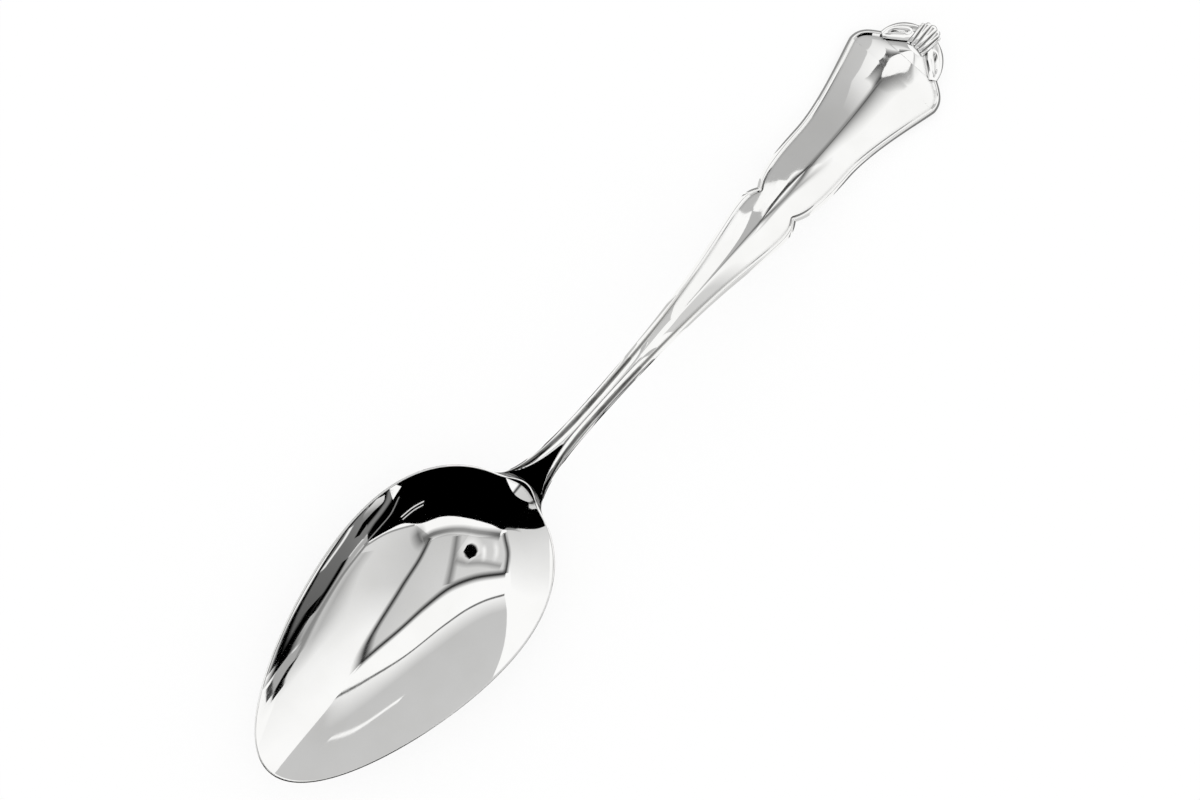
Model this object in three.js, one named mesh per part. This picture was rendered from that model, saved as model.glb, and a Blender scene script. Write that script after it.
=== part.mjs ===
// A table spoon in polished silver: an egg-shaped bowl on an arched handle, whose edge carries
// a raised thread that breaks at two notches and ends in scrolls beside a small fan.
// Millimetres, +Z up. The bowl's tip is at -X, the handle's end at +X, and the spoon lies on Z = 0.
import * as THREE from 'three';

// The whole spoon
const spoonLength = 205;
const archHeight = 20;
const archFromHeel = 32;
const neckSlope = 0.62;
const heelThickness = 4.6;
const endThickness = 2.2;
const solderGap = 0.15;

// Bowl, measured from its tip
const bowlLength = 71.9;
const bowlWidth = 40.5;
const bowlWidest = 46;
const bowlTaper = 6.4;
const tipTaper = 1.7;
const bowlDepth = 7.8;
const bowlFullness = 0.72;
const bowlLean = 0.07;
const rimSteepness = 0.97;
const bowlWall = 1.2;
const rimLand = 0.4;
const rimEdge = 0.8;
const rimRound = 0.2;
const tipRise = 0.6;
const heelRise = 0.3;
const rimSweep = 3;
const restCut = 0.12;

// Tongue of the heel, and the almond-shaped land on it between the hollow and the neck
const heelTongue = 1.4;
const tongueSweep = 8;
const almondLength = 2.3;
const almondWidth = 7.8;
const almondRise = 1;
const almondStep = 0.6;
const almondFall = 0.03;
const almondEdge = 0.07;
const almondLevel = 0.8;
const almondSweep = 4;

// Drop: the tongue of the shank that is lapped under the bowl's heel
const dropLength = 11;
const dropTip = 0.6;
const dropSweep = 1.5;
const dropStart = 0.06;

// Handle outline: full widths, and places measured back from the handle's end
const flareWidth = 12.6;
const neckFromHeel = 17.6;
const neckWidth = 4.2;
const shoulderFromEnd = 59.5;
const shoulderWidth = 12.6;
const notchFromEnd = 54.9;
const notchWidth = 10.3;
const waistFromEnd = 38.2;
const waistWidth = 14.8;
const cornerFromEnd = 13.9;
const cornerWidth = 23.5;
const lobeFromEnd = 8.7;
const lobeWidth = 15.8;
const fanFromEnd = 2.2;
const fanWidth = 5;

// Handle section: flat on top at the heel, then a ridge that grows rounder toward the end
const crownShare = 0.38;
const crownAtHeel = 0.5;
const crownAtFan = 0.45;
const facetAtHeel = 0.9;
const facetRun = 10.3;
const ridgeSoftness = 0.25;
const endSoftness = 0.8;
const backShare = 0.18;
const backShareAtHeel = 0.48;
const flareRun = 13;
const restFromEnd = 18;
const endLift = 1;

// Thread, scroll and fan, which stand on a ledge along the handle's edge
const stemThread = 0.95;
const bladeThread = 1.25;
const threadSeat = 0.4;
const threadEdge = 0.38;
const threadBead = 0.37;
const threadSoftness = 0.25;
const scrollRoot = 2;
const scrollRise = 0.5;
const scrollValley = 0.5;
const leafRise = 0.7;
const valleyOpens = [0.02, 0.35];
const valleyCloses = [0.72, 0.96];
const fanLength = 6.4;
const fanRoot = 4.6;
const fanRootBow = 0.4;
const fanRise = 0.55;
const fanGroove = 0.25;
const fanScallop = 0.25;
const fanFlutes = 5;
const fanCentreSetback = 1.2;

// Steps along and across
const hollowShares = [0, 0.12, 0.24, 0.36, 0.48, 0.6, 0.71, 0.81, 0.9, 0.96, 1];
const bowlSteps = 70;
const almondSteps = 10;
const dropSteps = 7;
const flareSteps = 12;
const stemSteps = 18;
const shoulderSteps = 6;
const notchSteps = 8;
const bladeSteps = 14;
const lobeSteps = 8;
const scrollSteps = 12;
const fluteSteps = 4;
const gatherSteps = 5;
const backShares = [1, 0.75, 0.5, 0.25];
const flankShares = [1, 0.75, 0.5, 0.25, 0];
const facetShares = [0.67, 0.33];
const beadShares = [1, 0.95, 0.75, 0.5, 0.25, 0.05, 0];
const shareLimit = 1.2;
const halvings = 50;
const sameCorner = 1e-6;

const { clamp, lerp, smoothstep } = THREE.MathUtils;
const flat = (station, across) => new THREE.Vector2(station, across);
const lift = (plan, side, height) => new THREE.Vector3(plan.x - spoonLength / 2, side * plan.y, height);
const upTo = (count) => Array.from({ length: count }, (_, i) => i);

// Bowl surface: a unit disc of shares p along (tip -1, heel 1) and q across is drawn out into the egg

const bowlHalf = bowlWidth / 2;
const bowlMiddle = bowlLength / 2;
const flareHalf = flareWidth / 2;
const rimLevel = bowlDepth + bowlWall - restCut;
const shellDepth = bowlDepth + bowlWall - rimEdge;

function bowlStation(p) {
  const skew = bowlMiddle - bowlWidest + tipTaper;
  const even = bowlWidest + skew * p ** 2 - tipTaper * p ** 4;
  return even + (bowlMiddle - bowlTaper) * p + bowlTaper * p ** 3;
}

function bowlShare(station) {
  let low = -shareLimit;
  let high = shareLimit;
  for (let i = 0; i < halvings; i += 1) {
    const middle = (low + high) / 2;
    if (bowlStation(middle) < station) low = middle;
    else high = middle;
  }
  return low;
}

function rimHeight(p) {
  return rimLevel + (p < 0 ? tipRise : heelRise) * Math.abs(p) ** rimSweep;
}

function bowlPlan(p, q, inset) {
  const shrink = 1 - 2 * inset / bowlLength;
  const across = Math.max(0, 1 - (q * bowlHalf / flareHalf) ** 2);
  const tongue = heelTongue * across * Math.max(p, 0) ** tongueSweep;
  return flat(inset + shrink * bowlStation(p) + tongue, (bowlHalf - inset) * q);
}

// How much of its full depth the hollow has: 1 in the middle, 0 at the rim and beyond
function hollowShare(p, q) {
  const steep = rimSteepness ** 2;
  const atRim = (1 - steep) ** bowlFullness;
  const inside = Math.min(p ** 2 + q ** 2, 1);
  const round = ((1 - steep * inside) ** bowlFullness - atRim) / (1 - atRim);
  return round * (1 + bowlLean * p);
}

function bowlUnderside(plan) {
  const p = bowlShare(plan.x);
  const fall = shellDepth * hollowShare(p, plan.y / bowlHalf);
  return Math.max(rimHeight(p) - rimEdge - fall, 0);
}

function bowlLoops() {
  const almondAngle = Math.asin(almondWidth / bowlWidth);
  const heelStretch = 3 * bowlMiddle + 2 * bowlTaper - 2 * bowlWidest - 2 * tipTaper;
  const angles = [
    ...upTo(almondSteps).map((i) => almondAngle * (2 * i / almondSteps - 1)),
    ...upTo(bowlSteps).map((i) => almondAngle + 2 * (Math.PI - almondAngle) * i / bowlSteps),
  ];
  const almond = (angle) => Math.max(0, 1 - (angle / almondAngle) ** 2);

  const hollow = (t) => angles.map((angle) => {
    const radius = t * (1 - almond(angle) * almondLength / heelStretch * t ** almondSweep);
    const p = radius * Math.cos(angle);
    const q = radius * Math.sin(angle);
    return lift(bowlPlan(p, q, rimLand), 1, rimHeight(p) - bowlDepth * hollowShare(p, q));
  });
  const rim = (inset, fall) => angles.map((angle) => {
    const p = Math.cos(angle);
    const height = rimHeight(p) + almondRise * almond(angle) - fall;
    return lift(bowlPlan(p, Math.sin(angle), inset), 1, height);
  });
  const facet = (share, step) => {
    const outer = rim(rimLand, 0);
    return hollow(1).map((corner3, i) => {
      const height = outer[i].z - step * almond(angles[i]);
      return corner3.lerp(outer[i], share).setZ(height);
    });
  };
  const shell = (t) => angles.map((angle) => {
    const plan = bowlPlan(t * Math.cos(angle), t * Math.sin(angle), 0);
    return lift(plan, 1, bowlUnderside(plan));
  });

  const flatShare = Math.sqrt(restCut / shellDepth / bowlFullness);
  const shellShares = hollowShares.filter((t) => t > flatShare).reverse();
  return [
    ...hollowShares.map(hollow),
    facet(almondEdge, almondStep + almondFall),
    facet(almondLevel, almondStep),
    rim(rimLand, 0),
    rim(rimRound, 0),
    rim(0, rimRound),
    ...shellShares.map(shell),
    shell(flatShare),
    shell(0),
  ];
}

// Handle heights along the spine

const heelStation = bowlLength + heelTongue + solderGap;
const archStation = bowlLength + archFromHeel;
const restStation = spoonLength - restFromEnd;
const cornerStation = spoonLength - cornerFromEnd;
const waistStation = spoonLength - waistFromEnd;
const fanStation = spoonLength - fanLength;

function hermite(share, span, fromHeight, fromSlope, toHeight, toSlope) {
  const f2 = share ** 2;
  const f3 = share ** 3;
  const ends = fromHeight * (1 - 3 * f2 + 2 * f3) + toHeight * (3 * f2 - 2 * f3);
  return ends + span * (fromSlope * (share - 2 * f2 + f3) + toSlope * (f3 - f2));
}

function thickness(station) {
  const left = (spoonLength - station) / (spoonLength - heelStation);
  return lerp(endThickness, heelThickness, left ** 2);
}

function crest(station) {
  const restHeight = thickness(restStation);
  if (station < archStation) {
    const span = archStation - heelStation;
    const heelHeight = rimHeight(1) + almondRise;
    return hermite((station - heelStation) / span, span, heelHeight, neckSlope, archHeight, 0);
  }
  if (station < restStation) {
    const span = restStation - archStation;
    return hermite((station - archStation) / span, span, archHeight, 0, restHeight, 0);
  }
  return restHeight + endLift * ((station - restStation) / restFromEnd) ** 2;
}

const flareFade = (station) => smoothstep(station, heelStation - flareRun / 4, heelStation + flareRun);
const back = (station) => crest(station) - thickness(station);
const backRise = (station) => thickness(station) * lerp(backShareAtHeel, backShare, flareFade(station));

function crown(station) {
  const heel = lerp(crownAtHeel, 1, flareFade(station));
  const fan = lerp(1, crownAtFan, smoothstep(station, cornerStation, fanStation));
  return crownShare * thickness(station) * heel * fan;
}

const groove = (station) => crest(station) - crown(station);
const ledge = (station) => groove(station) - threadSeat;

// Height of a rounded ridge: 1 at the middle, 0 at the shares -1 and 1
function peak(share, softness) {
  const round = (x) => Math.hypot(x, softness) - softness;
  return 1 - round(share) / round(1);
}

const facetShare = (station) => facetAtHeel * clamp(1 - (station - heelStation) / facetRun, 0, 1);

function ridge(v, station) {
  const facet = facetShare(station);
  const softness = lerp(ridgeSoftness, endSoftness, smoothstep(station, waistStation, fanStation));
  return peak(Math.max(v - facet, 0) / (1 - facet), softness);
}

// Handle ribs: each runs from the outline (outer) over the thread's inner side (inner) to the spine (foot)

function outlineStretch(from, to, [x1, y1, x2, y2]) {
  const step = to.clone().sub(from);
  const first = from.clone().add(flat(x1 * step.x, y1 * step.y));
  const second = from.clone().add(flat(x2 * step.x, y2 * step.y));
  return new THREE.CubicBezierCurve(from, first, second, to);
}

function creaseStation(across) {
  const q = across / bowlHalf;
  return bowlPlan(Math.sqrt(1 - q ** 2), q, 0).x + solderGap;
}

const creaseBow = heelStation - creaseStation(flareHalf);
const fromEnd = (distance, width) => flat(spoonLength - distance, width / 2);

const flareCorner = flat(creaseStation(flareHalf), flareHalf);
const neck = flat(bowlLength + neckFromHeel, neckWidth / 2);
const shoulder = fromEnd(shoulderFromEnd, shoulderWidth);
const notch = fromEnd(notchFromEnd, notchWidth);
const waist = fromEnd(waistFromEnd, waistWidth);
const corner = fromEnd(cornerFromEnd, cornerWidth);
const lobe = fromEnd(lobeFromEnd, lobeWidth);
const fanCorner = fromEnd(fanFromEnd, fanWidth);
const fanCentre = flat(fanStation - fanCentreSetback, 0);

const flare = outlineStretch(flareCorner, neck, [0.06, 0.5, 0.3, 1]);
const stem = outlineStretch(neck, shoulder, [0.64, 0, 0.87, 1]);
const shoulderTurn = outlineStretch(shoulder, notch, [0.55, 0, 0.8, 0.58]);
const notchTurn = outlineStretch(notch, waist, [0.18, 0.72, 0.42, 1]);
const blade = outlineStretch(waist, corner, [0.4, 0, 0.95, 1]);
const cornerLobe = outlineStretch(corner, lobe, [0.55, 0, 0.79, 0.55]);
const scroll = outlineStretch(lobe, fanCorner, [0.51, 0.04, 0.9, 0.55]);

const threadWidth = (station) => lerp(stemThread, bladeThread, smoothstep(station, neck.x, notch.x));
const inward = (tangent) => flat(tangent.y, -tangent.x).normalize();

function flareRibs() {
  return upTo(flareSteps).map((i) => {
    const outer = flare.getPoint(i / flareSteps);
    const tangent = flare.getTangent(i / flareSteps);
    const bow = creaseBow * (1 - smoothstep(outer.x, flareCorner.x, neck.x));
    const across = outer.y - stemThread / tangent.x;
    const inner = flat(outer.x + bow * (1 - (across / outer.y) ** 2), across);
    return { outer, inner, foot: flat(outer.x + bow, 0) };
  });
}

function threadRibs(curve, steps, before) {
  return upTo(steps).map((i) => {
    const outer = curve.getPoint(i / steps);
    const normal = inward(curve.getTangent(i / steps));
    if (i === 0 && before) normal.add(inward(before.getTangent(1))).normalize();
    const inner = outer.clone().addScaledVector(normal, threadWidth(outer.x));
    return { outer, inner, foot: flat(inner.x, 0) };
  });
}

function fanRib(u) {
  const flute = Math.abs(Math.sin(fanFlutes * Math.PI * (1 - u) / 2));
  const turn = u * Math.PI / 2;
  const reach = fanFromEnd - fanScallop;
  const outer = flat(fanCorner.x + reach * Math.cos(turn), fanCorner.y * Math.sin(turn));
  const normal = flat(Math.cos(turn) / reach, Math.sin(turn) / fanCorner.y).normalize();
  outer.addScaledVector(normal, fanScallop * flute);
  const inner = flat(fanStation - fanRootBow * u ** 2, u * fanRoot / 2);
  return { outer, inner, foot: fanCentre.clone(), flute };
}

function scrollRibs() {
  const normal = inward(cornerLobe.getTangent(1)).add(inward(scroll.getTangent(0))).normalize();
  const start = lobe.clone().addScaledVector(normal, scrollRoot);
  const end = fanRib(1).inner;
  return upTo(scrollSteps).map((i) => {
    const share = i / scrollSteps;
    const inner = start.clone().lerp(end, share);
    return { outer: scroll.getPoint(share), inner, foot: flat(inner.x, 0), share };
  });
}

function fanRibs() {
  const steps = fanFlutes * fluteSteps / 2;
  return upTo(steps + 1).map((i) => fanRib(1 - i / steps));
}

// The feet of the last ribs draw together at the fan's centre, so that the ribs turn round the end
function gatherFeet(ribs, first, last) {
  const away = [0];
  for (let i = first + 1; i <= last; i += 1) {
    away.push(away[away.length - 1] + ribs[i].outer.distanceTo(ribs[i - 1].outer));
  }
  const start = ribs[first].foot.x;
  away.forEach((distance, i) => {
    const share = distance / away[away.length - 1];
    ribs[first + i].foot.x = lerp(start, fanCentre.x, 2 * share - share ** 2);
  });
}

const stemRibs = [
  ...flareRibs(),
  ...threadRibs(stem, stemSteps),
  ...threadRibs(shoulderTurn, shoulderSteps),
];
const bladeRibs = [...threadRibs(notchTurn, notchSteps, shoulderTurn), ...threadRibs(blade, bladeSteps)];
const lobeRibs = threadRibs(cornerLobe, lobeSteps);
const curlRibs = scrollRibs();
const ribs = [...stemRibs, ...bladeRibs, ...lobeRibs, ...curlRibs, ...fanRibs()];
const notchRib = stemRibs.length;
const lobeRib = notchRib + bladeRibs.length + lobeRibs.length;
const firstFanRib = lobeRib + curlRibs.length;
gatherFeet(ribs, notchRib + bladeRibs.length - gatherSteps, firstFanRib);

// Solids: a loft joins closed loops of corners, and a solid is turned so that its faces point out

function signedVolume(corners) {
  let sum = 0;
  for (let i = 0; i < corners.length; i += 3) {
    sum += corners[i].dot(corners[i + 1].clone().cross(corners[i + 2]));
  }
  return sum / 6;
}

function loft(loops, cappedEnds = [], across = null) {
  const corners = [];
  const apart = (a, b) => a.distanceTo(b) > sameCorner;
  const add = (a, b, c) => {
    if (apart(a, b) && apart(b, c) && apart(c, a)) corners.push(a, b, c);
  };
  for (let i = 1; i < loops.length; i += 1) {
    const near = loops[i - 1];
    const far = loops[i];
    near.forEach((a, k) => {
      const next = (k + 1) % near.length;
      const [b, c, d] = [near[next], far[next], far[k]];
      if (a.distanceTo(c) < b.distanceTo(d)) {
        add(a, b, c);
        add(a, c, d);
      } else {
        add(a, b, d);
        add(b, c, d);
      }
    });
  }
  cappedEnds.forEach((loop) => {
    const contour = loop.map((corner3) => flat(across(corner3, loop), corner3.z));
    const turn = (points) => THREE.ShapeUtils.isClockWise(points);
    const faces = THREE.ShapeUtils.triangulateShape(contour, []);
    faces.forEach(([a, b, c]) => {
      const alongLoop = turn([contour[a], contour[b], contour[c]]) === turn(contour);
      if (alongLoop === (loop !== loops[0])) add(loop[a], loop[b], loop[c]);
      else add(loop[a], loop[c], loop[b]);
    });
  });
  return corners;
}

const silver = new THREE.MeshStandardMaterial({ color: 0xd9dad7, roughness: 0.08, metalness: 1 });

function solid(name, corners) {
  if (signedVolume(corners) < 0) corners.reverse();
  const geometry = new THREE.BufferGeometry().setFromPoints(corners);
  geometry.computeVertexNormals();
  const mesh = new THREE.Mesh(geometry, silver);
  mesh.name = name;
  return mesh;
}

// Shank: the drop under the bowl, the neck, the stem and the blade with its ledges

const between = (rib, end, v) => flat(lerp(rib.foot.x, end.x, v ** 2), end.y * v);

function fieldShares(rib) {
  const facet = facetShare(rib.foot.x);
  return [...flankShares.map((u) => lerp(facet, 1, u)), ...facetShares.map((u) => facet * u)];
}

function closeSection(half) {
  const left = half(1);
  const right = half(-1);
  return [
    ...left.back, left.backSpine, ...right.back.reverse(),
    ...right.top, left.topSpine, ...left.top.reverse(),
  ];
}

function shankLoop(rib) {
  const onBack = (side, v) => {
    const plan = between(rib, rib.outer, v);
    return lift(plan, side, back(plan.x) + backRise(plan.x) * v ** 2);
  };
  const onField = (side, v) => {
    const plan = between(rib, rib.inner, v);
    return lift(plan, side, groove(plan.x) + crown(plan.x) * ridge(v, plan.x));
  };
  return closeSection((side) => ({
    back: backShares.map((v) => onBack(side, v)),
    backSpine: onBack(side, 0),
    top: [
      lift(rib.outer, side, ledge(rib.outer.x)),
      lift(rib.inner, side, ledge(rib.inner.x)),
      ...fieldShares(rib).map((v) => onField(side, v)),
    ],
    topSpine: onField(side, 0),
  }));
}

// Under the bowl the sections repeat the first rib's, narrowed to a round tongue that follows the bowl
function dropLoop(share) {
  const rib = ribs[0];
  const narrow = Math.sqrt(1 - (1 - share) ** 2);
  const under = (plan) => bowlUnderside(plan) - solderGap;
  const shift = (plan) => {
    const across = plan.y * narrow;
    const arc = heelStation - creaseBow * (across / flareHalf) ** 2;
    return flat(arc - dropLength * (1 - share), across);
  };
  const onTop = (side, plan) => lift(shift(plan), side, under(shift(plan)));
  const onBack = (side, v) => {
    const heel = between(rib, rib.outer, v);
    const heelDepth = under(heel) - back(heel.x) - backRise(heel.x) * v ** 2;
    const plan = shift(heel);
    return lift(plan, side, under(plan) - lerp(dropTip, heelDepth, share ** dropSweep));
  };
  return closeSection((side) => ({
    back: backShares.map((v) => onBack(side, v)),
    backSpine: onBack(side, 0),
    top: [rib.outer, rib.inner, ...fieldShares(rib).map((v) => between(rib, rib.inner, v))]
      .map((plan) => onTop(side, plan)),
    topSpine: onTop(side, rib.foot),
  }));
}

function shank() {
  const drop = upTo(dropSteps).map((i) => dropLoop(lerp(dropStart, 1, i / (dropSteps - 1))));
  const loops = [...drop, ...ribs.map(shankLoop)];
  return loft(loops, [loops[0]], (corner3) => corner3.y);
}

// Thread, scroll and fan: strips that fill the ledge between the outline and the inner line

const pillow = (share) => Math.sqrt(Math.max(Math.sin(Math.PI * clamp(share, 0, 1)), 0));
const bead = (share) => threadBead * peak(2 * share - 1, threadSoftness);

// An outer bead and an inner leaf with a valley between them, which closes at both ends
function curlBead(share, rib) {
  const along = rib.share ?? 1;
  const opened = smoothstep(along, ...valleyOpens) * (1 - smoothstep(along, ...valleyCloses));
  const outer = Math.sin(Math.PI * Math.min(share / scrollValley, 1));
  const leaf = leafRise * pillow((share - scrollValley) / (1 - scrollValley));
  return scrollRise * lerp(pillow(share), outer + leaf, opened);
}

function fluteBead(share, rib) {
  return fanRise * pillow(share) * lerp(fanGroove, 1, Math.sqrt(rib.flute));
}

function stripLoop(rib, side, profile) {
  const base = (share) => lerp(ledge(rib.outer.x), ledge(rib.inner.x), share);
  const top = beadShares.map((share) => {
    const plan = rib.outer.clone().lerp(rib.inner, share);
    return lift(plan, side, base(share) + lerp(threadEdge, threadSeat, share) + profile(share, rib));
  });
  return [lift(rib.outer, side, base(0)), lift(rib.inner, side, base(1)), ...top];
}

function strip(loops) {
  const across = (corner3, loop) => Math.hypot(corner3.x - loop[0].x, corner3.y - loop[0].y);
  return loft(loops, [loops[0], loops[loops.length - 1]], across);
}

function stripBetween(first, last, side, profile) {
  return strip(ribs.slice(first, last + 1).map((rib) => stripLoop(rib, side, profile)));
}

function fan() {
  const half = ribs.slice(firstFanRib);
  const left = half.map((rib) => stripLoop(rib, 1, fluteBead));
  const right = half.slice(0, -1).map((rib) => stripLoop(rib, -1, fluteBead));
  return strip([...left, ...right.reverse()]);
}

// Assembly

const spoon = new THREE.Group();
spoon.add(solid('bowl', loft(bowlLoops())));
spoon.add(solid('shank', shank()));
for (const [name, side] of [['left', 1], ['right', -1]]) {
  spoon.add(solid(`thread_stem_${name}`, stripBetween(0, notchRib, side, bead)));
  spoon.add(solid(`thread_blade_${name}`, stripBetween(notchRib, lobeRib, side, bead)));
  spoon.add(solid(`scroll_${name}`, stripBetween(lobeRib, firstFanRib, side, curlBead)));
}
spoon.add(solid('fan_terminal', fan()));

export default spoon;
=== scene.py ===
# Looks of a polished silver table spoon: fine meshes for its nine pieces, a mirror-bright silver,
# and a light tent with the panels that the silver mirrors. Sizes are millimetres, as in the solids,
# and places on a dome of cards are degrees.
import math

import bmesh
import bpy
import numpy as np
from mathutils import Matrix, Vector

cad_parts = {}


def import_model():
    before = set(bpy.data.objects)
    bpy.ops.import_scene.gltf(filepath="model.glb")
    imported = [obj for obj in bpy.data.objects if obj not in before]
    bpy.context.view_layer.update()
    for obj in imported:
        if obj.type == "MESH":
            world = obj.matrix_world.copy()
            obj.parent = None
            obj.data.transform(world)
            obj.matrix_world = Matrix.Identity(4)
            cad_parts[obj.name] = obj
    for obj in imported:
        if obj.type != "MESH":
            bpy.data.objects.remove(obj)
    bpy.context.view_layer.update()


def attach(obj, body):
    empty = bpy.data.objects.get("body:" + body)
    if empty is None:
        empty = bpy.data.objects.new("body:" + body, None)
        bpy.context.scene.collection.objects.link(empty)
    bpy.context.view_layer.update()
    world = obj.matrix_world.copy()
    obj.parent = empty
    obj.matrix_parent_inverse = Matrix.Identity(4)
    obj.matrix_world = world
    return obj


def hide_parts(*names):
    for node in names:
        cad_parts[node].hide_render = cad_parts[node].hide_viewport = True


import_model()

MM = 0.001

# The whole spoon
SPOON_LENGTH = 205.0
ARCH_HEIGHT = 20.0
ARCH_FROM_HEEL = 32.0
NECK_SLOPE = 0.62
HEEL_THICKNESS = 4.6
END_THICKNESS = 2.2
SOLDER_GAP = 0.15

# Bowl, measured from its tip
BOWL_LENGTH = 71.9
BOWL_WIDTH = 40.5
BOWL_WIDEST = 46.0
BOWL_TAPER = 6.4
TIP_TAPER = 1.7
BOWL_SQUARENESS = 0.08
HEEL_TONGUE = 1.4
TONGUE_SWEEP = 8
TONGUE_BLEND = 2.5
BOWL_DEPTH = 7.8
BOWL_FULLNESS = 0.72
BOWL_LEAN = 0.07
RIM_STEEPNESS = 0.9
BOWL_WALL = 1.2
RIM_LAND = 0.4
RIM_EDGE = 0.8
RIM_ROUND = 0.2
RIM_CROWN = 0.03
TIP_RISE = 0.6
HEEL_RISE = 0.3
RIM_SWEEP = 3
REST_CUT = 0.12
ALMOND_LENGTH = 2.3
ALMOND_WIDTH = 7.8
ALMOND_RISE = 1.0
ALMOND_STEP = 0.6
ALMOND_FALL = 0.03
ALMOND_EDGE = 0.07
ALMOND_LEVEL = 0.8
ALMOND_SWEEP = 4
DROP_LENGTH = 11.0
DROP_TIP = 0.6
DROP_SWEEP = 1.5

# Handle outline: (distance from the handle's end, full width)
FLARE_WIDTH = 12.6
NECK_FROM_HEEL = 17.6
NECK_WIDTH = 4.2
SHOULDER = (59.5, 12.6)
NOTCH = (54.9, 10.3)
WAIST = (38.2, 14.8)
CORNER = (13.9, 23.5)
LOBE = (8.7, 15.8)
FAN_CORNER = (2.2, 5.0)

# Handle section
CROWN_SHARE = 0.38
CROWN_AT_HEEL = 0.5
FACET_AT_HEEL = 0.9
FACET_RUN = 10.3
CROWN_AT_FAN = 0.45
STEM_SOFTNESS = 0.1
RIDGE_SOFTNESS = 0.25
END_SOFTNESS = 0.8
BACK_SHARE = 0.18
BACK_SHARE_AT_HEEL = 0.48
FLARE_RUN = 13.0
FLARE_LEAD = FLARE_RUN / 4
REST_FROM_END = 18.0
END_LIFT = 1.0
BACK_ROUND = 0.3

# Thread, scroll and fan
STEM_THREAD = 0.95
BLADE_THREAD = 1.25
THREAD_SEAT = 0.4
THREAD_EDGE = 0.38
THREAD_BEAD = 0.37
THREAD_SOFTNESS = 0.25
SCROLL_RISE = 0.5
SCROLL_ROOT = 2.0
SCROLL_VALLEY = 0.5
VALLEY_SHARE = 0.65
VALLEY_OPENS = (0.02, 0.35)
VALLEY_CLOSES = (0.72, 0.96)
LEAF_RISE = 0.7
FAN_LENGTH = 6.4
FAN_ROOT = 4.6
FAN_ROOT_BOW = 0.4
FAN_RISE = 0.55
FAN_SCALLOP = 0.25
FAN_FLUTES = 5
FAN_GROOVE = 0.25
FAN_CENTRE_SETBACK = 1.2

# Steps of the fine meshes, as shares where they crowd together to keep an edge crisp
HOLLOW_RINGS = 44
HOLLOW_EDGE = 0.997
FACET_FOOT = 0.9
FACET_SHARES = (0.0, 0.03, 0.2, 0.4, 0.6, 0.77, 0.8, 0.83, 0.97)
LAND_STEPS = 5
SHELL_RINGS = 34
BOWL_STEPS = 170
ALMOND_STEPS = 44
DROP_STEPS = 26
DROP_START = 0.05
FLARE_STEPS = 56
STEM_STEPS = 84
TURN_STEPS = 30
BLADE_STEPS = 78
LOBE_STEPS = 40
SCROLL_STEPS = 48
FLUTE_STEPS = 16
PIVOT_STEPS = 7
BACK_STEPS = 14
ROUND_STEPS = 5
FIELD_STEPS = 22
BEAD_STEPS = 16
OUTLINE_STEPS = 60
GATHERED_STEPS = BLADE_STEPS // 3
SHARE_STEPS = 4001
SHARE_REACH = 1.2
CREASE_STEPS = 2001
WELD_DISTANCE = 1e-6
SLIVER_SIZE = 1e-7
SHARP_ANGLE = math.radians(34)


def lerp(a, b, share):
    return a + (b - a) * share


def smoothstep(x, low, high):
    share = np.clip((x - low) / (high - low), 0, 1)
    return share * share * (3 - 2 * share)


def rows(x, y, z):
    """Points as rows, from columns that may be single numbers."""
    return np.stack(np.broadcast_arrays(np.asarray(x, float), y, z), axis=-1)


# Bowl surface: a unit disc of shares p along (tip -1, heel 1) and q across is drawn out into the egg

BOWL_HALF = BOWL_WIDTH / 2
BOWL_MIDDLE = BOWL_LENGTH / 2
RIM_LEVEL = BOWL_DEPTH + BOWL_WALL - REST_CUT
SHELL_DEPTH = BOWL_DEPTH + BOWL_WALL - RIM_EDGE


def bowl_station(p):
    skew = BOWL_MIDDLE - BOWL_WIDEST + TIP_TAPER
    return BOWL_WIDEST + (BOWL_MIDDLE - BOWL_TAPER) * p + skew * p**2 + BOWL_TAPER * p**3 - TIP_TAPER * p**4


SHARE_TABLE = np.linspace(-SHARE_REACH, SHARE_REACH, SHARE_STEPS)
STATION_TABLE = bowl_station(SHARE_TABLE)


def bowl_share(station):
    return np.interp(station, STATION_TABLE, SHARE_TABLE)


def rim_height(p):
    return RIM_LEVEL + np.where(p < 0, TIP_RISE, HEEL_RISE) * np.abs(p) ** RIM_SWEEP


def swell(p):
    """How much fuller than an ellipse the bowl is across."""
    return 1 + BOWL_SQUARENESS * p**2


def bowl_plan(p, q, inset):
    shrink = 1 - 2 * inset / BOWL_LENGTH
    across = q * swell(p)
    near_spine = np.maximum(0, 1 - (across * BOWL_WIDTH / FLARE_WIDTH) ** 2)
    tongue = HEEL_TONGUE * near_spine**TONGUE_BLEND * np.maximum(p, 0) ** TONGUE_SWEEP
    return inset + shrink * bowl_station(p) + tongue, (BOWL_HALF - inset) * across


def hollow_share(p, q):
    """How much of its full depth the hollow has: 1 in the middle, 0 at the rim and beyond."""
    steep = RIM_STEEPNESS**2
    at_rim = (1 - steep) ** BOWL_FULLNESS
    inside = np.minimum(p**2 + q**2, 1)
    round_share = ((1 - steep * inside) ** BOWL_FULLNESS - at_rim) / (1 - at_rim)
    return round_share * (1 + BOWL_LEAN * p)


def bowl_underside(station, across):
    p = bowl_share(station)
    return rim_height(p) - RIM_EDGE - SHELL_DEPTH * hollow_share(p, across / BOWL_HALF / swell(p))


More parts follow.
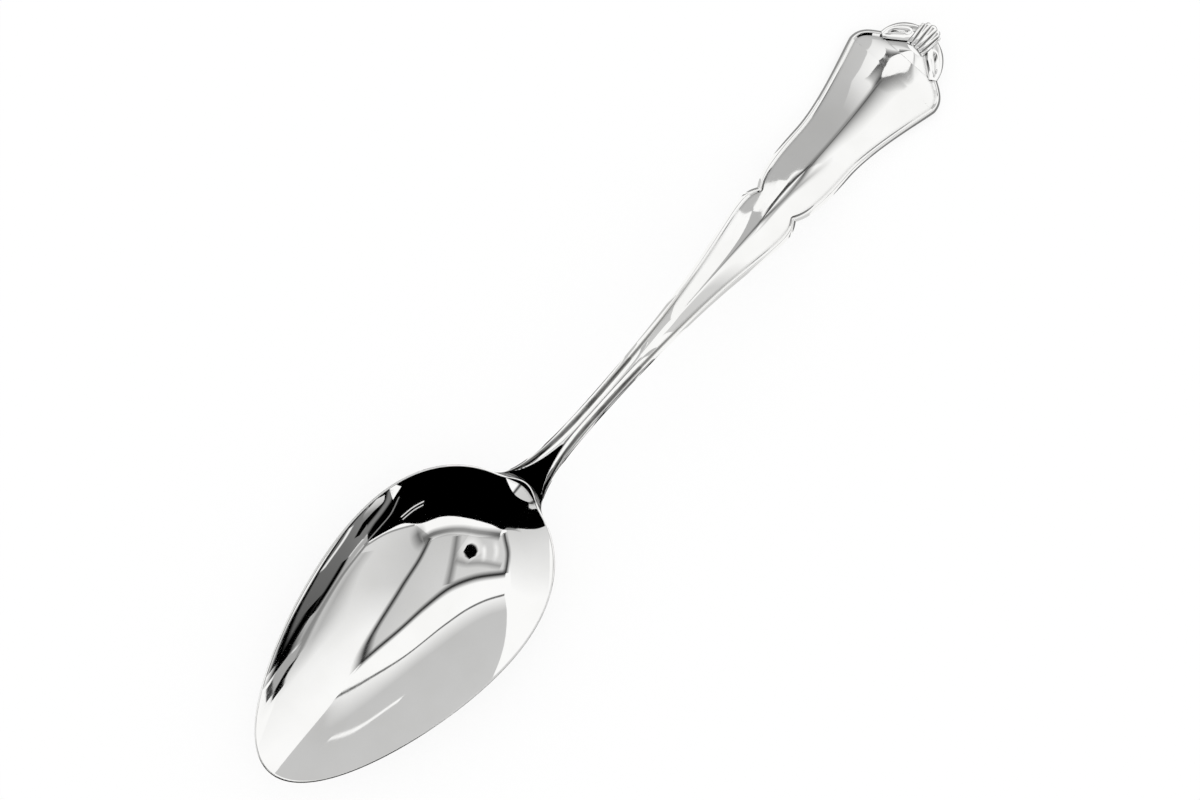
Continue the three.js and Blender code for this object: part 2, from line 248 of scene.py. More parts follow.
def bowl_loops():
    almond_angle = math.asin(ALMOND_WIDTH / BOWL_WIDTH / swell(1.0))
    heel_stretch = 3 * BOWL_MIDDLE + 2 * BOWL_TAPER - 2 * BOWL_WIDEST - 2 * TIP_TAPER
    near = np.linspace(-almond_angle, almond_angle, ALMOND_STEPS, endpoint=False)
    away = np.linspace(almond_angle, 2 * math.pi - almond_angle, BOWL_STEPS, endpoint=False)
    angles = np.concatenate([near, away])
    almond = np.maximum(0, 1 - (angles / almond_angle) ** 2)
    flat_share = math.sqrt(REST_CUT / SHELL_DEPTH / BOWL_FULLNESS)

    def hollow(t):
        radius = t * (1 - almond * ALMOND_LENGTH / heel_stretch * t**ALMOND_SWEEP)
        p, q = radius * np.cos(angles), radius * np.sin(angles)
        x, y = bowl_plan(p, q, RIM_LAND)
        return rows(x, y, rim_height(p) - BOWL_DEPTH * hollow_share(p, q))

    def rim(inset, fall):
        p = np.cos(angles)
        x, y = bowl_plan(p, np.sin(angles), inset)
        return rows(x, y, rim_height(p) + ALMOND_RISE * almond - fall)

    def shell(t):
        p, q = t * np.cos(angles), t * np.sin(angles)
        x, y = bowl_plan(p, q, 0)
        return rows(x, y, np.maximum(bowl_underside(x, y), 0) if t > flat_share else 0.0)

    def facet(c):
        points = lerp(hollow(1.0), rim(RIM_LAND, 0), lerp(ALMOND_EDGE, 1, c))
        fall = np.interp(c, (0, ALMOND_LEVEL, 1), (ALMOND_STEP + ALMOND_FALL, ALMOND_STEP, 0))
        points[:, 2] = rim(RIM_LAND, 0)[:, 2] - fall * almond
        return points

    land = [
        rim(lerp(RIM_LAND, RIM_ROUND, c), -RIM_CROWN * math.sin(math.pi * c))
        for c in np.linspace(0, 1, LAND_STEPS + 1)[1:]
    ]
    turn = [
        rim(RIM_ROUND * (1 - math.sin(a)), RIM_ROUND * (1 - math.cos(a)))
        for a in np.linspace(0, math.pi / 2, ROUND_STEPS)[1:]
    ]
    return [
        *[hollow(t) for t in np.linspace(0, 1, HOLLOW_RINGS)[:-1]],
        hollow(HOLLOW_EDGE),
        hollow(1.0),
        lerp(hollow(1.0), facet(0.0), FACET_FOOT),
        *[facet(c) for c in FACET_SHARES],
        *land,
        *turn,
        *[shell(t) for t in np.linspace(1, flat_share, SHELL_RINGS)],
        shell(0),
    ]


# Handle heights along the spine

HEEL_STATION = BOWL_LENGTH + HEEL_TONGUE + SOLDER_GAP
ARCH_STATION = BOWL_LENGTH + ARCH_FROM_HEEL
REST_STATION = SPOON_LENGTH - REST_FROM_END
CORNER_STATION = SPOON_LENGTH - CORNER[0]
FAN_STATION = SPOON_LENGTH - FAN_LENGTH


def hermite(share, span, from_height, from_slope, to_height, to_slope):
    f2, f3 = share**2, share**3
    ends = from_height * (1 - 3 * f2 + 2 * f3) + to_height * (3 * f2 - 2 * f3)
    return ends + span * (from_slope * (share - 2 * f2 + f3) + to_slope * (f3 - f2))


def thickness(s):
    left = (SPOON_LENGTH - s) / (SPOON_LENGTH - HEEL_STATION)
    return lerp(END_THICKNESS, HEEL_THICKNESS, left**2)


def crest(s):
    rest_height = thickness(REST_STATION)
    neck_span = ARCH_STATION - HEEL_STATION
    heel_height = rim_height(1.0) + ALMOND_RISE
    rise = hermite((s - HEEL_STATION) / neck_span, neck_span, heel_height, NECK_SLOPE, ARCH_HEIGHT, 0)
    fall_span = REST_STATION - ARCH_STATION
    fall = hermite((s - ARCH_STATION) / fall_span, fall_span, ARCH_HEIGHT, 0, rest_height, 0)
    end = rest_height + END_LIFT * ((s - REST_STATION) / REST_FROM_END) ** 2
    return np.where(s < ARCH_STATION, rise, np.where(s < REST_STATION, fall, end))


def flare_fade(s):
    return smoothstep(s, HEEL_STATION - FLARE_LEAD, HEEL_STATION + FLARE_RUN)


def back(s):
    return crest(s) - thickness(s)


def back_rise(s):
    return thickness(s) * lerp(BACK_SHARE_AT_HEEL, BACK_SHARE, flare_fade(s))


def crown(s):
    heel = lerp(CROWN_AT_HEEL, 1, flare_fade(s))
    fan = lerp(1, CROWN_AT_FAN, smoothstep(s, CORNER_STATION, FAN_STATION))
    return CROWN_SHARE * thickness(s) * heel * fan


def groove(s):
    return crest(s) - crown(s)


def ledge(s):
    return groove(s) - THREAD_SEAT


# Handle ribs: each runs from the outline (outer) over the thread's inner side (inner) to the spine (foot)

class Stretch:
    """A cubic stretch of the outline, with its two middle points as shares of the step."""

    def __init__(self, start, end, shares):
        x1, y1, x2, y2 = shares
        step = end - start
        self.points = [start, start + step * (x1, y1), start + step * (x2, y2), end]

    def at(self, u):
        a, b, c, d = self.points
        return a * (1 - u) ** 3 + 3 * b * u * (1 - u) ** 2 + 3 * c * u**2 * (1 - u) + d * u**3

    def inward(self, u):
        a, b, c, d = self.points
        x, y = (b - a) * (1 - u) ** 2 + 2 * (c - b) * u * (1 - u) + (d - c) * u**2
        return np.array([y, -x]) / math.hypot(x, y)


def from_end(place):
    return np.array([SPOON_LENGTH - place[0], place[1] / 2])


def crease_station(across):
    turns = np.linspace(0, math.pi / 2, CREASE_STEPS)
    stations, places = bowl_plan(np.cos(turns), np.sin(turns), 0)
    return np.interp(across, places, stations) + SOLDER_GAP


FLARE_HALF = FLARE_WIDTH / 2
CREASE_BOW = HEEL_STATION - crease_station(FLARE_HALF)
flare_corner = np.array([crease_station(FLARE_HALF), FLARE_HALF])
neck = np.array([BOWL_LENGTH + NECK_FROM_HEEL, NECK_WIDTH / 2])
shoulder, notch, waist = from_end(SHOULDER), from_end(NOTCH), from_end(WAIST)
corner, lobe, fan_corner = from_end(CORNER), from_end(LOBE), from_end(FAN_CORNER)
fan_centre = FAN_STATION - FAN_CENTRE_SETBACK

flare = Stretch(flare_corner, neck, (0.06, 0.5, 0.3, 1))
stem = Stretch(neck, shoulder, (0.64, 0, 0.87, 1))
shoulder_turn = Stretch(shoulder, notch, (0.55, 0, 0.8, 0.58))
notch_turn = Stretch(notch, waist, (0.18, 0.72, 0.42, 1))
blade = Stretch(waist, corner, (0.4, 0, 0.95, 1))
corner_lobe = Stretch(corner, lobe, (0.55, 0, 0.79, 0.55))
scroll = Stretch(lobe, fan_corner, (0.51, 0.04, 0.9, 0.55))


def thread_width(s):
    return lerp(STEM_THREAD, BLADE_THREAD, smoothstep(s, neck[0], notch[0]))


bridge = Stretch(shoulder, waist, (1 / 3, 0, 2 / 3, 1))
OUTLINE = np.concatenate([
    [curve.at(u) for u in np.linspace(0, 1, OUTLINE_STEPS)]
    for curve in (flare, stem, bridge, blade, corner_lobe)
])


def field_half(s):
    """Half of the field between the threads, as if the outline had no notch."""
    return np.interp(s, OUTLINE[:, 0], OUTLINE[:, 1]) - thread_width(s)


def rib(outer, inner, foot=None, **more):
    return {"outer": outer, "inner": inner, "foot": inner[0] if foot is None else foot, **more}


def flare_ribs():
    made = []
    for u in np.arange(FLARE_STEPS) / FLARE_STEPS:
        outer, normal = flare.at(u), flare.inward(u)
        bow = CREASE_BOW * (1 - smoothstep(outer[0], flare_corner[0], neck[0]))
        across = outer[1] + STEM_THREAD / normal[1]
        inner = np.array([outer[0] + bow * (1 - (across / outer[1]) ** 2), across])
        made.append(rib(outer, inner, outer[0] + bow))
    return made


def thread_ribs(curve, steps):
    made = []
    for u in np.arange(steps) / steps:
        outer = curve.at(u)
        made.append(rib(outer, outer + curve.inward(u) * thread_width(outer[0])))
    return made


def pivot_ribs(point, first, last, steps):
    """Ribs that turn about a notch of the outline, from one inward direction to another."""
    made = []
    for share in np.arange(steps) / steps:
        normal = lerp(first, last, share)
        normal = normal / np.linalg.norm(normal)
        made.append(rib(point, point + normal * thread_width(point[0])))
    return made


def fan_rib(u):
    flute = abs(math.sin(FAN_FLUTES * math.pi * (1 - u) / 2))
    turn = u * math.pi / 2
    reach = FAN_CORNER[0] - FAN_SCALLOP
    outer = np.array([fan_corner[0] + reach * math.cos(turn), fan_corner[1] * math.sin(turn)])
    normal = np.array([math.cos(turn) / reach, math.sin(turn) / fan_corner[1]])
    outer = outer + normal / np.linalg.norm(normal) * FAN_SCALLOP * flute
    inner = np.array([FAN_STATION - FAN_ROOT_BOW * u**2, u * FAN_ROOT / 2])
    return rib(outer, inner, fan_centre, flute=flute)


def scroll_ribs(start):
    end = fan_rib(1.0)["inner"]
    shares = np.arange(SCROLL_STEPS) / SCROLL_STEPS
    return [rib(scroll.at(u), lerp(start, end, u), share=u) for u in shares]


def gather_feet(ribs, first, last):
    """The feet of the last ribs draw together at the fan's centre, so that the ribs turn round the end."""
    outers = np.array([r["outer"] for r in ribs[first:last + 1]])
    away = np.concatenate([[0], np.cumsum(np.linalg.norm(np.diff(outers, axis=0), axis=1))])
    start = ribs[first]["foot"]
    for r, share in zip(ribs[first:last + 1], away / away[-1]):
        r["foot"] = lerp(start, fan_centre, 2 * share - share**2)


def handle_ribs():
    at_notch = [shoulder_turn.inward(1), notch_turn.inward(0)]
    at_lobe = [corner_lobe.inward(1), scroll.inward(0)]
    notch_middle, lobe_middle = sum(at_notch) / 2, sum(at_lobe) / 2
    stem_part = [
        *flare_ribs(),
        *thread_ribs(stem, STEM_STEPS),
        *thread_ribs(shoulder_turn, TURN_STEPS),
        *pivot_ribs(notch, at_notch[0], notch_middle, PIVOT_STEPS),
    ]
    blade_part = [
        *pivot_ribs(notch, notch_middle, at_notch[1], PIVOT_STEPS),
        *thread_ribs(notch_turn, TURN_STEPS),
        *thread_ribs(blade, BLADE_STEPS),
    ]
    lobe_part = [
        *thread_ribs(corner_lobe, LOBE_STEPS),
        *pivot_ribs(lobe, at_lobe[0], lobe_middle, PIVOT_STEPS),
    ]
    curl_part = scroll_ribs(lobe + lobe_middle / np.linalg.norm(lobe_middle) * SCROLL_ROOT)
    fan_steps = FAN_FLUTES * FLUTE_STEPS // 2
    fan_part = [fan_rib(1 - i / fan_steps) for i in range(fan_steps + 1)]
    ribs = [*stem_part, *blade_part, *lobe_part, *curl_part, *fan_part]
    at = {"notch": len(stem_part)}
    at["lobe"] = at["notch"] + len(blade_part) + len(lobe_part)
    at["fan"] = at["lobe"] + len(curl_part)
    gather_feet(ribs, at["notch"] + len(blade_part) - GATHERED_STEPS, at["fan"])
    return ribs, at


# Meshes: a loft joins closed loops of points

def loft(name, loops, capped=()):
    mesh = bmesh.new()
    middle = (SPOON_LENGTH / 2, 0, 0)
    rings = [[mesh.verts.new(point) for point in (loop - middle) * MM] for loop in loops]
    for near, far in zip(rings, rings[1:]):
        for k, vertex in enumerate(near):
            mesh.faces.new((near[k - 1], vertex, far[k], far[k - 1]))
    for i in capped:
        mesh.faces.new(rings[i])
    bmesh.ops.remove_doubles(mesh, verts=mesh.verts, dist=WELD_DISTANCE)
    bmesh.ops.dissolve_degenerate(mesh, edges=mesh.edges, dist=SLIVER_SIZE)
    bmesh.ops.recalc_face_normals(mesh, faces=mesh.faces)
    data = bpy.data.meshes.new(name)
    mesh.to_mesh(data)
    mesh.free()
    data.shade_smooth()
    data.set_sharp_from_angle(angle=SHARP_ANGLE)
    piece = bpy.data.objects.new(name, data)
    bpy.context.collection.objects.link(piece)
    return piece


def peak(v, softness):
    """Height of a rounded ridge: 1 at the middle, 0 at the shares -1 and 1."""
    return 1 - (np.hypot(v, softness) - softness) / (np.hypot(1, softness) - softness)


def ridge(v, s):
    """The handle's top across: flat at the heel, then a ridge that grows rounder toward the end."""
    facet = FACET_AT_HEEL * np.clip(1 - (s - HEEL_STATION) / FACET_RUN, 0, 1)
    softness = lerp(STEM_SOFTNESS, RIDGE_SOFTNESS, smoothstep(s, neck[0], waist[0]))
    softness = lerp(softness, END_SOFTNESS, smoothstep(s, waist[0], FAN_STATION))
    return peak(np.maximum(v - facet, 0) / (1 - facet), softness)


def between(one, end, v):
    """Places on a rib, from its foot at share 0 to an end at share 1."""
    return lerp(one["foot"], end[0], v**2), end[1] * v


def back_chain(one):
    """Half of the back, from the spine to the rounded edge."""
    outer = one["outer"]
    span = math.hypot(outer[0] - one["foot"], outer[1])
    turn = np.linspace(0, math.pi / 2, ROUND_STEPS)
    share_left = 1 - BACK_ROUND / span
    v = np.concatenate([
        np.linspace(0, share_left, BACK_STEPS),
        lerp(share_left, 1, np.sin(turn[1:])),
    ])
    lift = np.concatenate([np.zeros(BACK_STEPS), BACK_ROUND * (1 - np.cos(turn[1:]))])
    x, y = between(one, outer, v)
    return rows(x, y, back(x) + back_rise(x) * np.minimum(v, share_left) ** 2 + lift)


def top_chain(one):
    """Half of the top, from the ledge's outer edge to the spine."""
    outer, inner = one["outer"], one["inner"]
    v = np.linspace(1, 0, FIELD_STEPS)
    x, y = between(one, inner, v)
    at_notch = shoulder[0] < inner[0] < waist[0]
    reach = min(inner[1] / field_half(inner[0]), 1) if at_notch else 1
    return np.concatenate([
        rows([outer[0]], [outer[1]], ledge(outer[0])),
        rows([inner[0]], [inner[1]], ledge(inner[0])),
        rows(x, y, groove(x) + crown(x) * ridge(v * reach, x)),
    ])


def mirrored(chain):
    other = chain[::-1] * (1, -1, 1)
    return np.concatenate([chain, other[1:-1]])


def shank_loop(one):
    return mirrored(np.concatenate([back_chain(one), top_chain(one)]))


def drop_loop(one, share):
    narrow = math.sqrt(1 - (1 - share) ** 2)

    def shifted(points):
        across = points[:, 1] * narrow
        arc = HEEL_STATION - CREASE_BOW * (across / FLARE_HALF) ** 2
        return arc - DROP_LENGTH * (1 - share), across

    def under(x, y):
        return bowl_underside(x, y) - SOLDER_GAP

    low, top = back_chain(one), top_chain(one)
    heel_depth = under(low[:, 0], low[:, 1]) - low[:, 2]
    x, y = shifted(low)
    tongue = rows(x, y, under(x, y) - lerp(DROP_TIP, heel_depth, share**DROP_SWEEP))
    x, y = shifted(top)
    return mirrored(np.concatenate([tongue, rows(x, y, under(x, y))]))


def bead(c, one):
    return THREAD_BEAD * peak(2 * c - 1, THREAD_SOFTNESS)


def pillow(c):
    """A low bead with a broad top."""
    return np.sqrt(np.maximum(np.sin(math.pi * c), 0))


def curl_bead(c, one):
    """An outer bead and an inner leaf with a valley between them, which closes at both ends."""
    share = one.get("share", 1.0)
    opened = smoothstep(share, *VALLEY_OPENS) * (1 - smoothstep(share, *VALLEY_CLOSES))
    outer = np.sin(math.pi * np.minimum(c / SCROLL_VALLEY, 1))
    leaf = pillow((c - SCROLL_VALLEY) / (1 - SCROLL_VALLEY))
    doubled = np.where(c < SCROLL_VALLEY, outer, LEAF_RISE * leaf)
    return SCROLL_RISE * lerp(pillow(c), doubled, VALLEY_SHARE * opened)


def flute_bead(c, one):
    return FAN_RISE * pillow(c) * lerp(FAN_GROOVE, 1, np.sqrt(one["flute"]))


def strip_loop(one, side, profile):
    outer, inner = one["outer"], one["inner"]
    c = np.linspace(1, 0, BEAD_STEPS + 1)
    base = lerp(ledge(outer[0]), ledge(inner[0]), c)
    height = base + lerp(THREAD_EDGE, THREAD_SEAT, c) + profile(np.clip(c, 0, 1), one)
    top = rows(lerp(outer[0], inner[0], c), lerp(outer[1], inner[1], c), height)
    low = rows([outer[0], inner[0]], [outer[1], inner[1]], [base[-1], base[0]])
    return np.concatenate([low, top]) * (1, side, 1)


# Pieces

def make_pieces():
    ribs, at = handle_ribs()
    drops = [drop_loop(ribs[0], share) for share in np.linspace(DROP_START, 1, DROP_STEPS) ** 2]
    made = [
        loft("bowl_shell", bowl_loops()),
        loft("shank_core", [*drops, *[shank_loop(r) for r in ribs]], capped=[0]),
    ]
    nodes = ["bowl", "shank"]
    strips = [
        ("thread_stem", 0, at["notch"], bead),
        ("thread_blade", at["notch"], at["lobe"], bead),
        ("scroll", at["lobe"], at["fan"], curl_bead),
    ]
    for name, first, last, profile in strips:
        for word, side in (("left", 1), ("right", -1)):
            loops = [strip_loop(r, side, profile) for r in ribs[first:last + 1]]
            made.append(loft(f"{name}_bead_{word}", loops, capped=[0, -1]))
            nodes.append(f"{name}_{word}")
    half = ribs[at["fan"]:]
    left = [strip_loop(r, 1, flute_bead) for r in half]
    right = [strip_loop(r, -1, flute_bead) for r in half[:-1]]
    made.append(loft("fan_flutes", [*left, *right[::-1]], capped=[0, -1]))
    nodes.append("fan_terminal")
    return list(zip(made, nodes))


# Silver: colour ramps are pairs of a position and a colour

SCUFF_SCALE = (300, 2600, 2600)
SCUFF_DETAIL = 4.0
SCUFF_RANGE = (0.3, 0.7)
POLISH_ROUGHNESS = (0.012, 0.04)
CLOUD_SCALE = 90.0
CLOUD_DETAIL = 3.0
CLOUD_TINTS = ((0.35, (0.925, 0.922, 0.908, 1)), (0.6, (0.96, 0.958, 0.948, 1)))
GROOVE_DARK_REACH = 0.7
GROOVE_DARK_SAMPLES = 4
GROOVE_DARK_TINTS = ((0.7, (0.42, 0.42, 0.42, 1)), (0.9, (1, 1, 1, 1)))


def tint_ramp(nodes, tints):
    """A colour ramp node with two tints."""
    ramp = nodes.new("ShaderNodeValToRGB")
    for element, (position, colour) in zip(ramp.color_ramp.elements, tints):
        element.position = position
        element.color = colour
    return ramp


def silver_material():
    """Polished silver: fine uneven polish, faint clouding, and a colour that darkens in the narrow grooves,
    the more closely they enclose a point.
    """
    material = bpy.data.materials.new("polished_silver")
    material.use_nodes = True
    nodes, links = material.node_tree.nodes, material.node_tree.links
    shader = nodes["Principled BSDF"]
    shader.inputs["Metallic"].default_value = 1.0
    place = nodes.new("ShaderNodeTexCoord")
    stretch = nodes.new("ShaderNodeMapping")
    stretch.inputs["Scale"].default_value = SCUFF_SCALE
    links.new(place.outputs["Object"], stretch.inputs["Vector"])
    scuffs = nodes.new("ShaderNodeTexNoise")
    scuffs.inputs["Scale"].default_value = 1.0
    scuffs.inputs["Detail"].default_value = SCUFF_DETAIL
    links.new(stretch.outputs[0], scuffs.inputs["Vector"])
    polish = nodes.new("ShaderNodeMapRange")
    polish.inputs["From Min"].default_value, polish.inputs["From Max"].default_value = SCUFF_RANGE
    polish.inputs["To Min"].default_value, polish.inputs["To Max"].default_value = POLISH_ROUGHNESS
    links.new(scuffs.outputs["Fac"], polish.inputs["Value"])
    links.new(polish.outputs[0], shader.inputs["Roughness"])
    clouds = nodes.new("ShaderNodeTexNoise")
    clouds.inputs["Scale"].default_value = CLOUD_SCALE
    clouds.inputs["Detail"].default_value = CLOUD_DETAIL
    links.new(place.outputs["Object"], clouds.inputs["Vector"])
    tint = tint_ramp(nodes, CLOUD_TINTS)
    links.new(clouds.outputs["Fac"], tint.inputs[0])
    # Ambient occlusion over a short reach darkens the colour in the narrow grooves
    shelter = nodes.new("ShaderNodeAmbientOcclusion")
    shelter.samples = GROOVE_DARK_SAMPLES
    shelter.inputs["Distance"].default_value = GROOVE_DARK_REACH * MM
    groove_dark = tint_ramp(nodes, GROOVE_DARK_TINTS)
    links.new(shelter.outputs["AO"], groove_dark.inputs[0])
    darken = nodes.new("ShaderNodeMix")
    darken.data_type = "RGBA"
    darken.blend_type = "MULTIPLY"
    darken.inputs["Factor"].default_value = 1.0
    links.new(tint.outputs[0], darken.inputs[6])
    links.new(groove_dark.outputs[0], darken.inputs[7])
    links.new(darken.outputs[2], shader.inputs["Base Color"])
    return material


# Studio: a white light tent round the spoon, whose panels the silver mirrors

SHEET_STEPS = 48
SHEET_ROWS = 6
LAYER_STEP = 0.008
TENT_CENTRE = (-57, 0, 4)
TENT_RADIUS = 2000
CANOPY_CENTRE = (95, 0, 4)
CANOPY_RADIUS = 220
SKIRT_TURNS = range(-180, 181, 20)
SKIRT_GAPS = (60, 80)


def tent_cloth():
    """Glows as strongly as each point's tone says, and lets through what its alpha leaves open."""
    material = bpy.data.materials.new("tent_cloth")
    material.use_nodes = True
    nodes, links = material.node_tree.nodes, material.node_tree.links
    nodes.remove(nodes["Principled BSDF"])
    glow, clear, mix = (nodes.new(f"ShaderNode{n}") for n in ("Emission", "BsdfTransparent", "MixShader"))
    for name, socket in (("tone", glow.inputs["Strength"]), ("alpha", mix.inputs[0])):
        read = nodes.new("ShaderNodeAttribute")
        read.attribute_name = name
        links.new(read.outputs["Fac"], socket)
    links.new(clear.outputs[0], mix.inputs[1])
    links.new(glow.outputs[0], mix.inputs[2])
    links.new(mix.outputs[0], nodes["Material Output"].inputs["Surface"])
    return material


def chart(azimuth, tilt):
    """A direction as a flat point: its angle from the zenith, along its azimuth."""
    return np.array([tilt * math.cos(math.radians(azimuth)), tilt * math.sin(math.radians(azimuth))])


def smooth_path(places):
    """A smooth line through places of (azimuth, angle from the zenith), in degrees, as chart points."""
    points = np.array([chart(*place) for place in places])
    knots = np.concatenate([[0], np.cumsum(np.linalg.norm(np.diff(points, axis=0), axis=1))])
    slopes = np.gradient(points, knots, axis=0)
    at = np.linspace(0, knots[-1], SHEET_STEPS + 1)
    k = np.clip(np.searchsorted(knots, at, side="right") - 1, 0, len(points) - 2)
    span = (knots[k + 1] - knots[k])[:, None]
    return hermite((at - knots[k])[:, None] / span, span, points[k], slopes[k], points[k + 1], slopes[k + 1])


def along(*values):
    """Tones, widths or strengths spaced evenly along an edge."""
    return np.interp(np.linspace(0, 1, SHEET_STEPS + 1), np.linspace(0, 1, len(values)), values)


def cloth_sheet(name, lines, tones, alphas):
    """A card through lines of points, each with its tone and alpha. Only mirrors show it."""
    mesh = bmesh.new()
    tone_layer, alpha_layer = (mesh.verts.layers.float.new(word) for word in ("tone", "alpha"))
    columns = []
    for line, tone, alpha in zip(lines, tones, alphas):
        column = [mesh.verts.new(point) for point in line]
        for vertex, t, a in zip(column, np.broadcast_to(tone, len(line)), np.broadcast_to(alpha, len(line))):
            vertex[tone_layer], vertex[alpha_layer] = t, a
        columns.append(column)
    for one, other in zip(columns, columns[1:]):
        for k in range(1, len(one)):
            mesh.faces.new((one[k - 1], one[k], other[k], other[k - 1]))
    data = bpy.data.meshes.new(name)
    mesh.to_mesh(data)
    mesh.free()
    card = bpy.data.objects.new(name, data)
    bpy.context.collection.objects.link(card)
    data.materials.append(cloth)
    card.visible_camera = False
    card.visible_diffuse = False
    card.visible_shadow = False


class Dome:
    """A dome of cards about a centre. Cards of a higher layer hang in front of the others."""

    def __init__(self, centre, radius):
        self.centre, self.radius = np.array(centre) * MM, radius * MM

    def place(self, line, layer):
        tilt = np.radians(np.hypot(line[:, 0], line[:, 1]))
        turn = np.arctan2(line[:, 1], line[:, 0])
        way = rows(np.sin(tilt) * np.cos(turn), np.sin(tilt) * np.sin(turn), np.cos(tilt))
        return self.centre + self.radius * (1 - LAYER_STEP * layer) * way

    def spread(self, name, lines, tones, alphas, layer):
        shares = np.linspace(0, len(lines) - 1, SHEET_ROWS * (len(lines) - 1) + 1)

        def blend(values):
            steps = [min(int(share), len(values) - 2) for share in shares]
            return [lerp(values[k], values[k + 1], share - k) for k, share in zip(steps, shares)]

        placed = [self.place(line, layer) for line in blend(lines)]
        cloth_sheet(name, placed, blend(tones), blend(alphas))

    def sheet(self, name, layer, edges, tones, alphas=None):
        """Cloth from edge to edge, with a tone for each. An edge is a path, as in smooth_path."""
        self.spread(name, [smooth_path(edge) for edge in edges], tones, alphas or [1] * len(edges), layer)

    def band(self, name, layer, path, width, tone, softness=0.6, strength=1.0):
        """A band with soft edges along a path."""
        line = smooth_path(path)
        ahead = np.gradient(line, axis=0)
        side = np.stack([-ahead[:, 1], ahead[:, 0]], axis=-1) / np.linalg.norm(ahead, axis=1)[:, None]
        offsets = (-0.5, -0.5 + softness / 2, 0.5 - softness / 2, 0.5)
        lines = [line + side * offset * np.reshape(width, (-1, 1)) for offset in offsets]
        self.spread(name, lines, [tone] * 4, (0, strength, strength, 0), layer)


def side_panels(dome):
    """Two panels, one at each side of the spoon, with a rail, a hem and a bright slit."""
    dome.sheet("side_panel", 1, [
        [(-103, 28), (-80, 22), (-47, 23), (-20, 27), (-4, 28.5), (1, 31), (8, 38)],
        [(-97, 41), (-88, 48), (-82, 54), (-75, 61), (-67, 60), (-52, 50.5), (-40, 44), (8, 43)],
    ], (along(0.56, 0.58, 0.64, 0.95, 1, 1), along(0.62, 0.7, 0.76, 0.92, 1, 1)))
    dome.band("side_panel_top", 3, [(-96, 42), (-88, 48), (-82, 54), (-76, 60)], 1.6, 0.3)
    rail = [(-77, 61), (-67, 60), (-61, 57), (-53, 51.3)]
    dome.band("side_panel_rail", 2, rail, 2.6, 0.22)

    hem = [(101, 43.5), (91, 34), (75, 28.4), (57, 27.2), (34, 29), (14, 29), (0, 29.7)]
    dome.sheet("grey_panel", 1, [
        hem,
        [(93, 52), (86, 44), (72, 38), (56, 36), (38, 35), (20, 33), (2, 30.7)],
        [(76, 88), (72, 90), (66, 86), (59, 72), (50, 58), (30, 44), (7, 38)],
    ], (0.95, 0.56, 0.6))
    dome.band("grey_panel_hem", 2, hem, along(1.9, 1.7, 1.4, 0.8, 0.5), 0.15)
    dome.band("bright_slit", 3, [(51, 44), (43, 41), (27, 35.4)], along(1.0, 0.8, 0.4), 1.0)


def roof_gap(dome):
    """A dim gap in the roof, with dark edges and a lens in it."""
    south = [(-6, 27.5), (-20, 27), (-47, 23), (-80, 22), (-102, 27)]
    north = [(-6, 27.5), (3, 22.5), (15, 15.5), (63, 9.6), (105, 16), (119, 37.5)]
    dome.sheet("roof_gap", 2, [
        [*south[:4], (-100, 25), (-120, 23.5), (-148, 22), (179, 25), (160, 36)],
        [*north[:5], (116, 28), (121, 37), (140, 37.5), (158, 38.5)],
    ], (0.6, 0.68))
    dome.band("roof_gap_north", 4, north, along(3.0, 5.0, 6.5, 6.5, 6.5), 0.03, 0.9)
    dome.band("roof_gap_south", 4, south, along(2.6, 4.4, 4.4, 4.4), 0.04, 0.9)
    dome.band("roof_gap_front", 4, [(119, 37.5), (140, 37.5), (160, 38.5)], 5.0, 0.06, 0.9)
    frame_path = [(-95, 29), (-104, 28.3), (-117, 26.4), (-146, 24.8), (-176, 27), (161, 35.5)]
    dome.band("roof_gap_frame", 3, frame_path, 7.5, along(0.14, 0.22, 0.3, 0.3, 0.26, 0.12), 0.8)
    dome.band("roof_gap_corner", 5, [(-97, 41), (-93, 30), (-96, 23)], 10.0, 0.16, 1.0, along(0, 1, 1, 0))
    dome.band("roof_post", 5, [(-142, 21), (-148, 9), (55, 7)], 7.0, 0.2, 1.0)
    dome.band("lens_sill", 5, [(-165, 6.5), (150, 10), (137, 19), (127, 33)], 6.0, 0.34, 1.0)
    dome.band("lens_halo", 6, [(-160, 17), (180, 17), (152, 17)], 15.0, 0.9, 0.7, along(0.4, 1, 1, 0.4))
    dome.band("lens_gleam_a", 6, [(166, 24), (150, 22), (136, 21)], 4.5, 1.0, 1.0, along(0, 1, 0.8, 0))
    dome.band("lens_gleam_b", 6, [(161, 31), (146, 30), (132, 28)], 5.0, 0.95, 1.0, along(0, 0.8, 0.8, 0))
    dome.band("lens", 7, [(-171, 14.6), (174, 15.6), (155, 14.8)], along(5, 9, 9.5, 9, 5), 0.0, 0.3)


def dark_opening(dome):
    """A dark opening past the bowl's tip, a panel beside it, and a dark skirt at the horizon."""
    dome.sheet("back_panel", 0, [
        [(162, 41), (155, 50), (152, 60), (151, 76)],
        [(106, 46), (104, 53), (103, 68), (103, 84)],
    ], (0.66, 1.0))
    dome.sheet("dark_opening", 4, [
        [
            (150, 77), (150.2, 70), (150.8, 64), (152.3, 59), (155, 50), (164, 38), (180, 34),
            (-153, 32.5), (-120, 36), (-100, 40), (-90, 50), (-83, 55), (-77, 61),
        ],
        [(149, 93), (175, 93), (-160, 93), (-135, 93), (-110, 93), (-86, 93)],
    ], (0, 0))
    dome.band("dark_opening_edge", 5, [(162, 40), (157, 45.5), (153, 51)], 1.3, 0.25, 0.6, along(1, 1, 0))
    dome.band("bar_a", 6, [(-92, 54.5), (-100, 54.2), (-108, 53.2)], 1.2, 0.9)
    dome.band("bar_b", 6, [(-92, 52), (-100, 51.7), (-107, 50.8)], 1.0, 0.8)
    open_beside_stem = along(*[0 if abs(turn) in SKIRT_GAPS else 1 for turn in SKIRT_TURNS])
    dome.band("skirt", 3, [(turn, 90) for turn in SKIRT_TURNS], 4.0, 0.02, 0.3, open_beside_stem)


